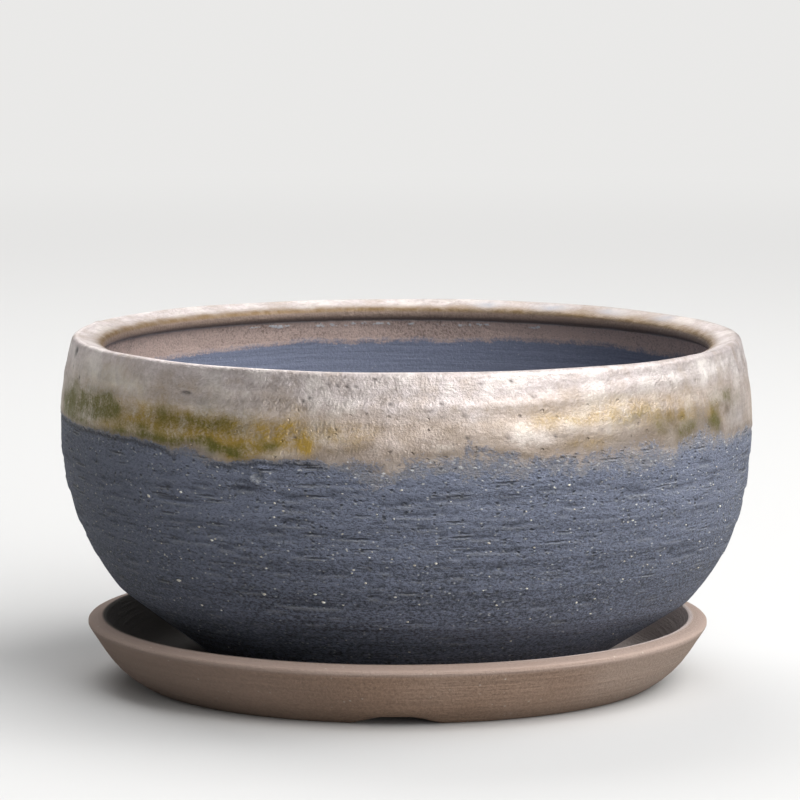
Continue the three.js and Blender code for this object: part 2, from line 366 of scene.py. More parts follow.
# Painted shade: the inside turns near black towards the left, under the pot.
painted_shade_inside = within * (right + clouds * 0.03).ease(*INSIDE_SHADE_SPAN)
speck = place.marks(420.0, 0.16, 0.26) * place.noise(50.0).ease(0.42, 0.6)
tone = layered(
    body.between(DISH_DARK, DISH_BROWN),
    (dust_and_light * 0.55, DISH_DUST_AND_LIGHT),
    # Painted light: the saucer paler towards its left.
    (right.ease(0.0, -0.11) * 0.65, DISH_PAINTED_LIGHT),
    (painted_rim_light, DISH_PAINTED_LIGHT),
    (painted_light_inside * 0.9, DISH_PAINTED_LIGHT_INSIDE),
    (painted_shade_inside * 0.96, DISH_PAINTED_SHADE),
    (speck * (1 - painted_shade_inside) * 0.8, DISH_SPECK),
)
into(shader, "Base Color", tone)
into(shader, "Roughness", 0.82 + grain * 0.16)
into(shader, "Normal", bump(turning * 0.8 + rim_lines * 0.3 + grain * 0.8 + clouds * 0.4, DISH_BUMP))
saucer.data.materials.append(dish_clay)
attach(saucer, "saucer")
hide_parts("saucer")


# The pot: a thick-walled bowl of charcoal stoneware, thrown, trimmed below to a cone on a foot ring and
# left bare outside. Coarse grit in the clay has torn short dragged marks into the wall. It stands loose in
# the saucer.
POT_STANDS_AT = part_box("pot_body")[0].z / MM
FOOT_RADIUS = 80.0
FOOT_SIDE = 4.0
FOOT_EDGE = 1.0
FOOT_RECESS = 5.0
FOOT_RING_WIDTH = 13.0
FOOT_SOFT_RISE = 6.0
FOOT_SPACING = 8.0
POT_NOTCH_WIDTH = 26.0
POT_NOTCH_HEIGHT = 3.5
CONE_RISE = 30.5
TRIM_LEVEL = 36.0
TRIM_TILT = 4.6
TRIM_HIGH_SIDE = -125.0
TRIM_SOFTNESS = 0.9
BELLY_RADIUS = 139.7
BELLY_RISE = 62.5
BELLY_DRAW_IN = 20.6
RIGHT_FULLNESS = 2.8
RIGHT_FULL_HEIGHTS = (96, 47)
ROUND_BELOW = 40
SHOULDER_RISE = 36.4
SHOULDER_DRAW_IN = 5.4
LIP_WIDTH = 11.8
LIP_FALL = 4.0
LIP_EDGE = 2.2
LIP_ROLL = 2.2
COVE_RISE = 3.3
WALL = 9.5
FLOOR = 10.0
FLOOR_ROUND = 12.0
FLOOR_SPACING = 10.0
DRAIN_RADIUS = 15.0
HOLLOW_EDGE = 1.5
UNDER_GLAZE = 0.5
UNDER_GLAZE_HEIGHTS = (109, 114)
FINE_FROM = 30.0
FINE_TO = 112.0
FINE_SPACING = 0.76
POT_FACETS = 500

foot_top = POT_STANDS_AT + FOOT_SIDE
trim_height = foot_top + CONE_RISE
trim_radius = BELLY_RADIUS - BELLY_DRAW_IN
belly_height = trim_height + BELLY_RISE
lip_height = belly_height + SHOULDER_RISE
lip_radius = BELLY_RADIUS - SHOULDER_DRAW_IN
lip_inner = lip_radius - LIP_WIDTH
lip_start = lip_height - LIP_EDGE
roll_height = lip_height - LIP_FALL - LIP_ROLL
cove_height = roll_height - COVE_RISE
floor_top = POT_STANDS_AT + FOOT_RECESS + FLOOR
belly_arc = (BELLY_RISE ** 2 + BELLY_DRAW_IN ** 2) / (2 * BELLY_DRAW_IN)
shoulder_arc = (SHOULDER_RISE ** 2 + SHOULDER_DRAW_IN ** 2) / (2 * SHOULDER_DRAW_IN)


def wall_radius(height, depth=0.0):
    """Radius of the thrown wall at a height and at a depth inside it."""
    height = np.clip(height, foot_top, lip_height)
    arc = np.where(height < belly_height, belly_arc, shoulder_arc)
    return BELLY_RADIUS - arc + np.sqrt((arc - depth) ** 2 - (height - belly_height) ** 2)


def on_wall(height, depth=0.0):
    """The wall's ring at a height and at a depth inside it: (radius, height)."""
    return float(wall_radius(height, depth)), height


def tilted(angle, tilt, high_side):
    """How far a tilted line lies above its middle at a facing."""
    return tilt * np.cos(np.radians(angle - high_side))


def side_radius(angle, height):
    """Radius of the pot's outside: a belly, fuller low on its right, above a cone trimmed askew."""
    def belly(level):
        right = np.clip(np.cos(np.radians(angle)), 0, 1) ** 1.5
        return wall_radius(level) + RIGHT_FULLNESS * right * ease(level, *RIGHT_FULL_HEIGHTS)
    trim = TRIM_LEVEL + tilted(angle, TRIM_TILT, TRIM_HIGH_SIDE)
    climb = np.clip((height - foot_top) / (trim - foot_top), 0, 3)
    cone = FOOT_RADIUS + (belly(trim) - FOOT_RADIUS) * climb
    soft = np.clip(1 - np.abs(cone - belly(height)) / TRIM_SOFTNESS, 0, 1)
    soft = soft * ease(height, foot_top, foot_top + FOOT_SOFT_RISE)
    return np.minimum(cone, belly(height)) - soft ** 2 * TRIM_SOFTNESS / 4


def bend(start, middle, end, steps):
    """Points of a curve from start to end by way of middle, the end left out."""
    start, middle, end = (Vector(point) for point in (start, middle, end))
    turns = [step / steps for step in range(steps)]
    return [tuple(start.lerp(middle, t).lerp(middle.lerp(end, t), t)) for t in turns]


def wall_rings(low, high, spacing, depth=0.0):
    """Rings of the wall from one height to another, the last left out."""
    count = math.ceil(abs(high - low) / spacing)
    heights = [low + (high - low) * step / count for step in range(count)]
    return [on_wall(height, depth) for height in heights]


def lip_rings(fine):
    """Rings of the lip, from its outer edge to the cove under its inner edge."""
    def slope(distance):
        return (lip_radius - distance, lip_height - LIP_FALL * distance / LIP_WIDTH)
    wall_top = on_wall(cove_height, WALL)[0]
    cove_middle = ((lip_inner + wall_top) / 2, roll_height - COVE_RISE / 2)
    crown, brink = slope(LIP_EDGE), slope(LIP_WIDTH - LIP_ROLL)
    rings = bend(on_wall(lip_start), (lip_radius, lip_height), crown, fine)
    rings += [tuple(Vector(crown).lerp(Vector(brink), step / (2 * fine))) for step in range(2 * fine)]
    rings += bend(brink, slope(LIP_WIDTH), (lip_inner, roll_height), fine)
    rings += bend((lip_inner, roll_height), (lip_inner, cove_middle[1]), cove_middle, fine)
    rings += bend(cove_middle, (wall_top, cove_middle[1]), (wall_top, cove_height), fine)
    return rings


def inset(rings, depth):
    """The same rings moved into the clay by a depth."""
    moved = []
    for before, ring, after in zip(rings[:1] + rings, rings, rings[1:] + rings[-1:]):
        along = (Vector(after) - Vector(before)).normalized()
        moved.append((ring[0] - along.y * depth, ring[1] + along.x * depth))
    return moved


inner_trim_height = belly_height - (belly_arc - WALL) * BELLY_RISE / belly_arc
cone_run = trim_radius - FOOT_RADIUS
slant_wall = WALL * math.hypot(cone_run, CONE_RISE) / CONE_RISE
bowl_floor_radius = FOOT_RADIUS + cone_run * (FOOT_RECESS + FLOOR - FOOT_SIDE) / CONE_RISE - slant_wall
bowl_floor_edge = (bowl_floor_radius - FLOOR_ROUND, floor_top)
ring_inner = FOOT_RADIUS - FOOT_RING_WIDTH
recess_top = POT_STANDS_AT + FOOT_RECESS
foot_outline = round_corners(
    [
        (DRAIN_RADIUS, recess_top, 0),
        (ring_inner, recess_top, HOLLOW_EDGE),
        (ring_inner, POT_STANDS_AT, FOOT_EDGE),
        (FOOT_RADIUS, POT_STANDS_AT, FOOT_EDGE),
        (FOOT_RADIUS, foot_top, FOOT_EDGE / 2),
        (*on_wall(FINE_FROM), 0),
    ],
    spacing=FOOT_SPACING,
)
floor_outline = round_corners(
    [(*bowl_floor_edge, 0), (DRAIN_RADIUS, floor_top, HOLLOW_EDGE), (DRAIN_RADIUS, recess_top + 1, 0)],
    spacing=FLOOR_SPACING,
)
pot_outline = foot_outline[:-1] + wall_rings(FINE_FROM, FINE_TO, FINE_SPACING)
pot_outline += wall_rings(FINE_TO, lip_start, spacing=4.0) + inset(lip_rings(2), UNDER_GLAZE)
pot_outline += wall_rings(cove_height, inner_trim_height, spacing=6.0, depth=WALL)
inner_trim = on_wall(inner_trim_height, WALL)
pot_outline += bend(inner_trim, (bowl_floor_radius, floor_top), bowl_floor_edge, steps=8) + floor_outline
pot = throw("pot_clay", pot_outline, POT_FACETS)

# Marks that grit dragged through the wall: facing in degrees, height, half length, half height and depth.
DRAGGED_MARKS = (
    (-90.5, 91.1, 3.6, 0.6, 0.8), (-88.3, 86.8, 6.4, 0.6, 0.72), (-78.1, 72.5, 6.6, 0.7, 0.8),
    (-77.4, 77.6, 5.8, 0.6, 0.72), (-73, 82, 4.2, 0.6, 0.72), (-81.5, 62, 3.4, 0.6, 0.64),
    (-95.7, 53.6, 2, 0.7, 0.8), (-108, 49, 13.5, 0.8, 0.96), (-119, 53.3, 6.8, 0.6, 0.72),
    (-108.5, 83.6, 3, 0.6, 0.72), (-50.1, 91.2, 6, 0.7, 0.8), (-130, 87.7, 9, 0.7, 0.8),
)
DRAGGED_BURR = 0.5
BURR_BELOW = 1.8

# Small marks and pits: how many, the ranges of half their length, half their height and their depth, and
# how high a burr stands below each, as a share of its depth.
SMALL_MARKS = (
    (700, (1.5, 6.0), (0.45, 0.8), (0.15, 0.55), 0.4),
    (600, (0.9, 1.8), (0.6, 1.0), (0.15, 0.45), 0.25),
)
MARK_HEIGHTS = (22, 92, 110)

# Shelves that the throwing left in the wall, height and step, and a blister that burst, facing and height.
SHELVES = ((79.5, 0.5), (65.8, 0.5), (53.0, 0.3), (93.0, 0.3))
SHELF_TILT = 1.2
SHELF_HIGH_SIDE = -60
SHELF_EDGE = 0.6
SHELF_FADE = (12, 1)
LEDGE_WIDTH = 1.3
FINISH_EDGE = 0.8
BURST = (-113.7, 100.1)
BURST_RIM_RADIUS = 3.2
BURST_RIM_HEIGHT = 1.2
BURST_RIM_WIDTH = 1.2
BURST_PIT_RADIUS = 1.6
BURST_PIT_DEPTH = 0.7
SCAR_SPAN = (6.0, 2.5)

# How the pot is out of round: waves of a size, how many there are, and where they start.
OUT_OF_ROUND = ((0.1, 2, 40), (0.06, 3, -70))
draw = np.random.default_rng(7)
wall_marks = [(*mark, DRAGGED_BURR) for mark in DRAGGED_MARKS]
for count, lengths, heights, depths, burr in SMALL_MARKS:
    for _ in range(count):
        place = (draw.uniform(-180, 180), draw.triangular(*MARK_HEIGHTS))
        size = [draw.uniform(*span) for span in (lengths, heights, depths)]
        wall_marks.append((*place, *size, burr))


def along_wall(angle, facing):
    """How far round the wall a facing lies, in mm."""
    return np.radians(turned_from(angle, facing)) * BELLY_RADIUS


def bell(value, half_width):
    """1 at 0, falling softly to 0 on both sides."""
    return np.exp(-(value / half_width) ** 2)


def hump(angle, facing, half_width):
    """1 at a facing, falling softly to 0 on both sides, in degrees."""
    return bell(turned_from(angle, facing), half_width)


def waves(angle, parts):
    """Waves round the pot, summed: (size, how many, where they start)."""
    return sum(size * np.cos(np.radians(turns * angle + start)) for size, turns, start in parts)


def above_shelf(angle, height, shelf):
    """How far a place lies above a shelf: they climb a little to one side."""
    return height - shelf - tilted(angle, SHELF_TILT, SHELF_HIGH_SIDE)


def drag_relief(angle, height):
    """How far the dragged marks lie below the wall, and their burrs above it."""
    relief = np.zeros(len(height))
    order = np.argsort(height)
    sorted_heights = height[order]
    for facing, level, half_length, half_height, depth, burr in wall_marks:
        reach = 4 * half_height
        first, last = np.searchsorted(sorted_heights, (level - reach, level + reach))
        near = order[first:last]
        along = along_wall(angle[near], facing) / half_length
        across = (height[near] - level) / half_height
        shape = bell(across, 1) - burr * bell(across + BURR_BELOW, 1)
        relief[near] -= depth * np.exp(-along ** 4) * shape
    return relief


def burst_distance(angle, height):
    """How far a place lies from the burst blister, in mm."""
    return np.hypot(along_wall(angle, BURST[0]), height - BURST[1])


def wall_relief(angle, height):
    """How far marks, shelves and a burst blister stand out of the thrown wall."""
    relief = drag_relief(angle, height)
    for shelf, step in SHELVES:
        above = above_shelf(angle, height, shelf)
        relief += step * ease(above, -SHELF_EDGE, SHELF_EDGE) * ease(above, *SHELF_FADE)
    from_burst = burst_distance(angle, height)
    relief += BURST_RIM_HEIGHT * bell(from_burst - BURST_RIM_RADIUS, BURST_RIM_WIDTH)
    return relief - BURST_PIT_DEPTH * bell(from_burst, BURST_PIT_RADIUS)


pot_points = points_of(pot)
angle, radius, height = round_the_axis(pot_points)
on_cone = FOOT_RADIUS + cone_run * (height - foot_top) / CONE_RISE
thrown = np.where(height < trim_height, on_cone, wall_radius(height))
outer = (height > foot_top) & (height < lip_start - 1) & (radius > thrown - 1)
relief = np.where(outer, wall_relief(angle, height), 0)
under_glaze = UNDER_GLAZE * ease(height, *UNDER_GLAZE_HEIGHTS)
new_radius = np.where(outer, side_radius(angle, height) + relief - under_glaze, radius)
new_radius = new_radius + waves(angle, OUT_OF_ROUND) * (height > ROUND_BELOW)
pot_points[:, :2] *= (new_radius / radius)[:, None]
lift_notches(pot_points, POT_STANDS_AT, ring_inner, POT_NOTCH_WIDTH, POT_NOTCH_HEIGHT)
put_points(pot, pot_points)


def keep(piece, **numbers):
    """Keeps named numbers per point of a piece, for its material."""
    for name, values in numbers.items():
        store = piece.data.attributes.new(name, "FLOAT", "POINT")
        store.data.foreach_set("value", np.asarray(values, dtype=np.float32))


above_shelves = [above_shelf(angle, height, shelf) for shelf, _ in SHELVES]
wall_finish = sum(ease(above, -FINISH_EDGE, FINISH_EDGE) for above in above_shelves[:3]) / 3
ledges = sum(bell(above, LEDGE_WIDTH) for above in above_shelves)
from_burst = burst_distance(angle, height)
dragged = np.where(outer, drag_relief(angle, height), 0)
keep(
    pot,
    hollow=np.clip(-dragged * 2.0, 0, 1),
    burr=np.clip(dragged * 5.0, 0, 1),
    rough=np.where(outer, wall_finish, 0),
    ledge=np.where(outer, np.clip(ledges, 0, 1), 0),
    scar=np.where(outer, ease(from_burst, *SCAR_SPAN), 0),
    inside=np.where(outer | (height < recess_top + 1), 0, ease(height, floor_top - 2, floor_top)),
)

CLAY_DARK = (0.02, 0.022, 0.03)
CLAY_GREY = (0.255, 0.286, 0.388)
CLAY_PALE = (0.55, 0.56, 0.58)
CLAY_GLINT = (0.8, 0.8, 0.8)
CLAY_INSIDE = (0.235, 0.262, 0.365)
CLAY_SHADE = (0.16, 0.182, 0.245)
CLAY_DEEP_SHADE = (0.1, 0.106, 0.125)
DEEP_SHADE_HEIGHTS = (0.12, 0.07)
# How far below each pit its lower lip lies, in metres; the lip's pale colour is a painted highlight.
LIP_OF_PIT = 0.0008
CLAY_BUMP = 0.0009


def kept(place, *names):
    """The wires of numbers that a piece keeps per point."""
    return [place.node("ShaderNodeAttribute", {"attribute_name": name}, out="Fac") for name in names]


def clay_look(place, rough, ledge):
    """Colour and height of the bare clay: grain, glints, torn pits and scratches, with painted shade in the
    pits and painted highlights on their lower lips and in the glints.
    """
    clouds = place.noise(16.0, 3.0)
    grain = place.noise(1150.0, 3.0, 0.75, stretch=(0.6, 0.6, 1.25)).ease(0.3, 0.7)
    drag = place.noise(260.0, 3.0, 0.6, stretch=(0.08, 0.08, 3.0))
    busy = (place.noise(45.0, 2.0) * 1.2 + rough * 0.4 + ledge * 0.6).ease(0.5, 1.0)

    def torn(spot):
        pits = spot.marks(620.0, 0.26, 0.4, (0.6, 0.6, 1.2), 0.0016) * (busy * 0.8 + 0.2)
        dashes = spot.marks(330.0, 0.24, 0.36, (0.16, 0.16, 2.4), 0.001) * (busy * 0.7 + 0.3)
        return pits.math("MAXIMUM", pits, dashes)

    hollows, lips = torn(place), torn(place.moved((0, 0, LIP_OF_PIT)))
    glints = place.marks(900.0, 0.1, 0.44, (0.65, 0.65, 1.0), 0.001) * (busy * 0.6 + 0.4)
    rise = grain * 0.8 + drag * 0.5 - hollows * 1.5 + lips * 0.6 + glints * 0.6
    # Painted lighter above the shelves: partly the rougher clay there, partly painted light on the stepped
    # wall.
    tone = grain * 0.8 + drag * 0.8 + clouds * 0.4 + rough * 0.3 - 0.5
    # The pale lower lips and the glints are painted highlights; the dark in the pits is painted shade.
    tone = layered(
        tone.ease(-0.1, 1.1).between(CLAY_DARK, CLAY_GREY),
        (lips * 0.42, CLAY_PALE),
        (hollows * 0.8, CLAY_DARK),
        (glints * 0.9, CLAY_GLINT),
    )
    return tone, rise


def inner_look(place):
    """Colour and height of the smooth clay inside: turned lines, grain, a few specks, and painted shade
    deeper down.
    """
    lines = place.noise(200.0, 3.0, 0.6, stretch=(0.12, 0.12, 2.5))
    fine = place.noise(900.0, 3.0, 0.7)
    specks = place.marks(700.0, 0.06, 0.28, wobble=0.001)
    tone = (lines * 0.5 + fine * 0.9 - 0.2).ease(0.15, 0.85).between(CLAY_SHADE, CLAY_INSIDE)
    # Painted shade: darker deeper inside the pot.
    deep_shade = (place.axis("Z") + lines * 0.02).ease(*DEEP_SHADE_HEIGHTS)
    tone = (deep_shade * (0.6 + fine * 0.5)).between(tone, CLAY_DEEP_SHADE)
    return (specks * 0.6).between(tone, CLAY_PALE), lines * 0.5 + fine * 0.4


pot_clay, place, shader = new_finish("charcoal_pot_clay")
hollow, burr, rough, ledge = kept(place, "hollow", "burr", "rough", "ledge")
scar, inner = kept(place, "scar", "inside")
tone, rise = clay_look(place, rough, ledge)
inner_tone, inner_rise = inner_look(place)
crust = (scar * 0.6 + place.noise(420.0, 3.0, 0.7) * 2.0).ease(1.45, 1.85) * scar.ease(0.0, 0.4)
# Painted highlights on the burrs below the dragged marks and painted shade in their hollows.
tone = layered(
    tone,
    (burr * 0.3, CLAY_PALE),
    (hollow * 0.5, CLAY_DARK),
    (crust * 0.55, CLAY_PALE),
    (inner, inner_tone),
)
into(shader, "Base Color", tone)
into(shader, "Roughness", 0.6 + rise * 0.15)
rise = rise * (1 - inner) + inner_rise * inner
into(shader, "Normal", bump(rise, CLAY_BUMP))
pot.data.materials.append(pot_clay)
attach(pot, "pot")
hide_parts("pot_body")


# The grog: cream grains of crushed fired clay that the potter mixed into the stoneware. The largest lie
# bare in the wall, sunk to about half their thickness.
GRAIN_RADIUS = 0.58
GRAIN_THICKNESS = 0.4

# The grains in plain sight: facing, height and size.
BARE_GRAINS = (
    (-134.1, 53.9, 1.9), (-131.1, 44.1, 1.3), (-115.6, 52.2, 1.3), (-104.7, 50.4, 1.4), (-105.9, 53.7, 1),
    (-125.7, 77.8, 1), (-111.3, 84.4, 0.9), (-123.5, 73, 1), (-130.2, 55.8, 0.8), (-126.7, 43, 0.8),
    (-90.7, 96.5, 1), (-88.6, 66.8, 1.2), (-85.1, 67.5, 1.2), (-76.6, 75.2, 0.9), (-68.8, 72.7, 0.9),
    (-68.9, 55.8, 1), (-91.8, 53.4, 0.9), (-73.8, 49.2, 0.9), (-98.7, 64.4, 0.8), (-96.8, 59.1, 0.8),
    (-76.7, 55.8, 0.8), (-63.6, 96.5, 0.9), (-50.5, 80.2, 1), (-51.5, 79.6, 0.8), (-25.5, 78.8, 1),
    (-26.7, 54.1, 1), (-30.5, 66.1, 0.9), (-58, 47.9, 1), (-53.6, 42.2, 0.9), (-54.2, 48.8, 0.8),
    (-136, 87.7, 1.2), (-128.6, 91, 1),
)

# Grains round the back and fine ones in front: how many, and the ranges of facing, height and size.
MORE_GRAINS = (
    (36, (-5, 185), (36, 98), (0.7, 1.3)),
    (130, (-170, -10), (20, 98), (0.45, 0.8)),
)
grain_places = [*BARE_GRAINS]
for count, *spans in MORE_GRAINS:
    grain_places += [[draw.uniform(*span) for span in spans] for _ in range(count)]
bpy.ops.mesh.primitive_ico_sphere_add(subdivisions=1, radius=GRAIN_RADIUS * MM)
first_grain = bpy.context.object
grain_shape = points_of(first_grain)
grain_shape *= 1 + draw.uniform(-0.3, 0.3, len(grain_shape))[:, None]
put_points(first_grain, grain_shape)
grain_facings, grain_levels, _ = np.array(grain_places).T
lie_at = side_radius(grain_facings, grain_levels) + wall_relief(grain_facings, grain_levels)
lie_at = lie_at + waves(grain_facings, OUT_OF_ROUND)
grains = []
for (facing, level, size), lies_at in zip(grain_places, lie_at):
    grain = first_grain.copy()
    grain.data = first_grain.data.copy()
    bpy.context.collection.objects.link(grain)
    turn = math.radians(facing)
    grain.location = (lies_at * math.cos(turn) * MM, lies_at * math.sin(turn) * MM, level * MM)
    grain.rotation_euler = (draw.uniform(-0.4, 0.4), 0, turn)
    grain.scale = (GRAIN_THICKNESS * size, draw.uniform(0.9, 1.5) * size, draw.uniform(0.7, 1.0) * size)
    grains.append(grain)
bpy.data.objects.remove(first_grain)
grog = join_parts("grog_grains", grains)
bpy.ops.object.shade_smooth()
GRAIN_CREAM = (0.92, 0.9, 0.82)
GRAIN_TAN = (0.66, 0.6, 0.5)
grain_clay, place, shader = new_finish("cream_grog")
into(shader, "Base Color", place.noise(400.0).ease(0.35, 0.65).between(GRAIN_TAN, GRAIN_CREAM))
shader.inputs["Roughness"].default_value = 0.8
grog.data.materials.append(grain_clay)
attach(grog, "pot")


# The rim glaze: one coat of satin bronze glaze, poured over the lip and melted on in the kiln. It is
# thick over the lip, beads along its lower edge and runs thin and brown down the inside.
GLAZE_FILM = 0.3
GLAZE_HIDDEN = 0.45
GLAZE_BEAD = 0.12
GLAZE_BEAD_WIDTH = 1.5
VEIL_FILM = 0.07
INNER_THIN_FILM = 0.06
GLAZE_FACETS = 720
COAT_SPACING = 0.6
INNER_COAT_SPACING = 0.8
LINE_MARGIN = 5.0
WELL_ABOVE = 40.0
GLAZE_LEVEL = 103.7
GLAZE_TILT = 5.5
GLAZE_HIGH_SIDE = -165
INNER_LEVEL = 121.8
INNER_TILT = 2.4
INNER_WAVES = ((0.5, 7, -60), (0.3, 17, -90))
LIP_SAG = 0.2
LIP_WAVES = ((0.12, 5, 10), (0.08, 13, 60))
LIP_BUMP = (163, 133.5)
LIP_BUMP_RISE = 0.4

# Where the coat has run: facing and half width in degrees, and how far it drops, or draws back below zero.
# Veils are thin stretches below the thick coat, so many mm wide.
GLAZE_RUNS = (
    (-122, 9, 4.6), (-95, 3.6, 4), (-95, 8, 3.6), (-65, 25, 1.3), (-34.5, 3.5, -1.8), (-18, 24, -5),
    (25, 6, 4), (48, 14, 1.5), (72, 10, 2.5), (118, 6, 5), (155, 8, 2),
)
VEIL_LEAST = 0.6
VEIL_EDGE = (-0.8, 1.6)
VEILS = (
    (-126, 4, 2.4), (-96, 6, 5), (-80, 11, 6.8), (-52, 16, 7.2), (-33, 7, 3), (-15, 12, 2), (40, 20, 4),
    (118, 12, 4),
)

# The height of the throwing ridge under the lip, by facing, and the rolls beside it: how far each stands
# out, its height above the ridge, and half its height.
RIDGE_FACINGS = (-180, -153, -110, -90, -72, -50, -33, -13, 60, 140, 180)
RIDGE_HEIGHTS = (126.0, 125.4, 125.8, 127.4, 128.0, 132.0, 131.5, 129.5, 128.0, 127.0, 126.0)
ROLLS = ((0.4, 0.0, 2.0), (-0.4, -5.0, 2.6), (-0.3, 4.2, 1.6), (0.25, -11.0, 2.5))

# How the coat's colour broke in the kiln, in soft patches, with painted light in some of them as noted
# below: facing and half width in degrees, height and half height in mm, and how strong.
GOLD_PATCHES = (
    (-148, 18, 127.5, 7, 0.3), (-120, 14, 127, 5, 0.15), (-52, 22, 127, 3, 0.25), (-140, 9, 117, 5, 0.8),
    (-126, 12, 118, 5, 0.5), (-131, 5, 116, 4, 1), (-131, 3, 110.5, 3, 0.9), (-124, 5, 115, 5, 0.8),
    (-118, 4, 113, 6, 1), (-115.5, 3, 108, 4.5, 1), (-110, 3.5, 115, 6, 0.9), (-108, 4, 121, 4, 0.55),
    (-105.5, 2.5, 112, 4.5, 0.9), (-100, 4, 117, 5, 0.45), (-147, 6, 112.5, 2.5, 0.6),
    (-66, 6, 121, 3, 0.45), (-57, 6, 122, 4, 0.45), (-48, 6, 120, 5, 0.5), (-38, 4, 119, 5, 0.55),
    (-31, 3, 117, 5, 0.55), (-60, 4, 112, 3, 0.4), (15, 16, 113, 7, 0.8), (58, 20, 115, 6, 0.6),
    (100, 18, 113, 8, 0.9), (142, 16, 117, 6, 0.7),
)
# The olive patches at the far left, from about -165 to -145, are partly painted reflection of green
# surroundings; the others are the coat's own colour.
OLIVE_PATCHES = (
    (-164, 9, 116, 8, 1), (-152, 7, 118.5, 5, 1), (-155, 8, 121, 4, 0.6), (-138, 7, 114, 3, 0.6),
    (-127, 7, 118, 3, 0.5), (-121, 5, 119.5, 4, 0.5), (-145, 4, 120, 4, 0.7), (-145, 14, 110.3, 1.6, 1),
    (-132, 5, 121, 3.5, 0.5), (-128, 8, 111, 2.4, 0.9), (-119, 4, 109, 3, 0.9), (-115.5, 2.5, 105, 2, 0.8),
    (-112, 2, 111, 2.5, 0.7), (-39, 2, 113, 4.5, 1), (-30, 2, 114, 6, 1), (-45, 2, 115.5, 3, 0.7),
    (-50, 3, 122.5, 2, 0.4), (-24, 4, 122.5, 3, 0.8), (24, 6, 110, 4, 0.8), (90, 9, 111, 4, 0.7),
    (165, 9, 117, 4.5, 0.8),
)
GREY_PATCHES = (
    (-151, 4.5, 115, 1.8, 0.6), (-149, 6, 125.5, 1.8, 0.6), (-123, 3, 126, 2, 0.6),
    (-120, 4, 122.5, 3, 0.35), (-113, 1.2, 115.5, 2, 0.9), (-107, 1.2, 114, 2, 0.7),
    (-125, 5, 107.5, 1.6, 0.8), (-52, 3, 118.5, 3, 0.8), (-54, 3, 111.5, 3, 0.6), (-35, 2.2, 116, 5, 0.9),
    (-20, 4, 114, 4, 0.4), (40, 8, 118, 4, 0.6), (125, 10, 122, 4, 0.6),
)
# The thin tan bands a few mm under the throwing ridge about the front, at 119.5, 121.5 and 124 mm, are
# painted shadow of the ridge; the other tan patches are the coat's own colour.
TAN_PATCHES = (
    (-90, 20, 119.5, 2, 0.45), (-62, 12, 124, 1.6, 0.35), (-56, 9, 132, 2.5, 0.25), (-30, 12, 118, 4, 0.5),
    (-45, 6, 120.5, 3, 0.4), (-103, 3, 121, 4, 0.4), (-100, 7, 111.5, 2.5, 0.8), (-95, 3, 104, 4, 0.6),
    (-85, 9, 121.5, 1.5, 0.3), (-85, 8, 110, 2, 0.6), (-70, 9, 110.5, 2, 0.8), (-64, 4, 114, 3, 0.5),
    (-57, 6, 113, 3, 0.7), (-47, 5, 113, 5, 0.7), (-42, 3, 117, 5, 0.5), (-25, 8, 114, 6, 0.4),
    (60, 30, 112, 6, 0.5), (140, 24, 114, 7, 0.5),
)
# Painted highlights: pale patches where light shines on the coat, which there reflects less like metal.
PAINTED_HIGHLIGHT_PATCHES = (
    (-153, 9, 131.5, 4.5, 0.75), (-146, 5, 129.5, 2.6, 1), (-146, 3, 134, 2, 0.5), (-30, 9, 134, 4, 0.6),
    (-66, 16, 117, 6, 0.25),
)
LILAC_ON_LIP = ((33, 2.5), (47, 3.5), (61, 4.0), (74, 2.5))
LIP_RIGHT_BACK = (48, 26)
UNDER_LIP_HEIGHTS = (137.0, 135.6)

# Small flaws of the coat: facing and height, with half the length and half the height of the longer ones.
SLIT = (-128, 129.6, 2.6, 0.6)
CHIP = (-165.5, 137.0, 2.2, 1.8)
PINHOLE_SPREAD = 0.6
PINHOLE_DEPTH = 0.55
BLISTER_SPREAD = 0.9
BLISTER_RISE = 0.5
CRUMB_SHARE = 0.8
CRUMB_HALF_HEIGHT = 0.45
CRUMB_RISE = 0.25
BEAD_HALF_HEIGHT = 0.6
BEAD_RISE = 0.6
PINHOLES = (
    (-100.9, 135.3), (-99.5, 135.2), (-98.1, 135.1), (-95, 138.2), (-106.5, 129.3), (-72.9, 136.9),
    (-69.3, 130.6), (-92.5, 129), (-86.2, 126.4), (-84.3, 123.8), (-80.4, 116.1), (-84.4, 129),
    (-80.8, 124.4), (-65.9, 115.6), (-73.8, 115.7), (-107.6, 115.7), (-105.4, 130.5), (-102.7, 135.9),
    (-78.2, 136.1), (-57.7, 116.7),
)
BLISTERS = (
    (-109.5, 123.4), (-110.3, 120), (-112.6, 114.8), (-123.9, 125.9), (-93, 129.6), (-91, 128.9),
    (-86.6, 127), (-99.8, 126), (-95.5, 122), (-101, 125), (-64.5, 116.2),
)
CRUMBS = (
    (-142.2, 107.7, 0.9), (-138.2, 103.2, 0.8), (-135.7, 105.4, 0.9), (-128, 103.3, 1),
    (-121.1, 102.3, 1.2), (-114.8, 103.4, 1.4), (-106.7, 103.3, 1.4), (-101.8, 101, 1), (-98.8, 107, 1.3),
    (-93.4, 103, 1.2), (-89, 104.2, 1.6), (-86.2, 107.2, 1.2), (-84.2, 104.1, 1.8), (-81.5, 105.2, 1.5),
    (-79, 104.7, 1.8), (-76.4, 101.1, 1.2), (-61.9, 102.1, 1.4), (-58.6, 103, 1), (-49.8, 103.7, 1.4),
    (-47.6, 102.8, 1), (-43.3, 102.6, 1.2), (-37.5, 101.9, 1.4), (-35.5, 107, 2.6), (-25.5, 100.5, 1.2),
    (-20.6, 100.4, 1.6),
)
MORE_PINHOLES = 45
MORE_CRUMBS = 40
INNER_BEADS = 70


